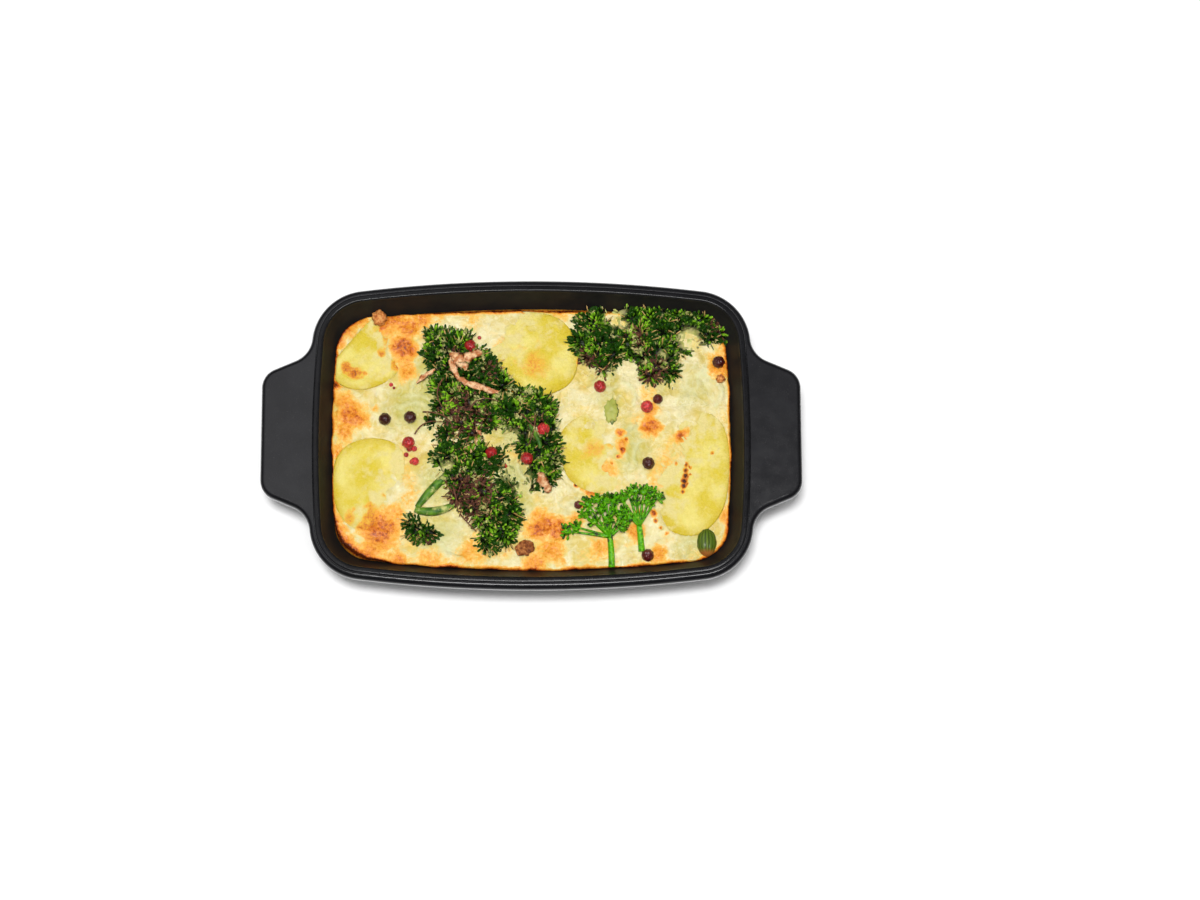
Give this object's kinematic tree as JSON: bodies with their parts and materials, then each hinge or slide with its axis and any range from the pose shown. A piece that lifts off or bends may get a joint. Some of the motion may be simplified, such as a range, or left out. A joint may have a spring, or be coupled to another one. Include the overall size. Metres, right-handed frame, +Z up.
{
  "type": "baking dish",
  "caption": "Rectangular stoneware baking dish with a flat tab handle at each end, holding a baked potato and broccoli gratin that lifts out.",
  "frame": {"origin": "under the middle of the dish, on the surface that it stands on", "axes": "+X along the dish through both handles, +Y towards its back, +Z up"},
  "size_m": [0.24, 0.1392, 0.052],
  "materials": {
    "glazed_stoneware": "satin",
    "custard": "satin",
    "potato": "satin",
    "broccoli": "matte",
    "stalk": "satin",
    "herb": "satin",
    "red_pepper": "satin",
    "dark_pepper": "satin",
    "crisp_onion": "matte",
    "crumb": "matte"
  },
  "bodies": {
    "dish": {"dish": "glazed_stoneware"},
    "gratin": {"broccoli_head_back_right_1": "broccoli", "broccoli_head_back_right_2": "broccoli", "broccoli_head_back_right_3": "broccoli", "broccoli_head_centre_1": "broccoli", "broccoli_head_centre_2": "broccoli", "broccoli_head_centre_3": "broccoli", "broccoli_head_centre_4": "broccoli", "broccoli_head_centre_5": "broccoli", "broccoli_head_centre_6": "broccoli", "broccoli_head_front_left": "broccoli", "broccoli_stalk_centre": "stalk", "broccoli_stalk_front_left_1": "stalk", "broccoli_stalk_front_left_2": "stalk", "gratin_custard": "custard", "green_leaf": "stalk", "onion_crisp_1": "crisp_onion", "onion_crisp_2": "crisp_onion", "onion_crisp_3": "crisp_onion", "onion_crisp_4": "crisp_onion", "onion_crisp_5": "crisp_onion", "peppercorn_dark_1": "dark_pepper", "peppercorn_dark_2": "dark_pepper", "peppercorn_dark_3": "dark_pepper", "peppercorn_dark_4": "dark_pepper", "peppercorn_dark_5": "dark_pepper", "peppercorn_dark_6": "dark_pepper", "peppercorn_dark_7": "dark_pepper", "peppercorn_red_1": "red_pepper", "peppercorn_red_2": "red_pepper", "peppercorn_red_3": "red_pepper", "peppercorn_red_4": "red_pepper", "peppercorn_red_5": "red_pepper", "peppercorn_red_6": "red_pepper", "peppercorn_red_7": "red_pepper", "peppercorn_red_8": "red_pepper", "potato_slice_back_left": "potato", "potato_slice_back_middle": "potato", "potato_slice_centre": "potato", "potato_slice_front_left": "potato", "potato_slice_right": "potato", "sprig_crown_left": "herb", "sprig_crown_right": "herb", "sprig_stem_left": "herb", "sprig_stem_right": "herb", "sprout_bud": "herb", "toasted_crumb_1": "crumb", "toasted_crumb_2": "crumb", "toasted_crumb_3": "crumb"}
  },
  "joints": [
    {"name": "gratin_lift", "type": "slide", "parent": "dish", "child": "gratin", "axis": [0, 0, 1], "range_m": [0, 0.06]}
  ]
}
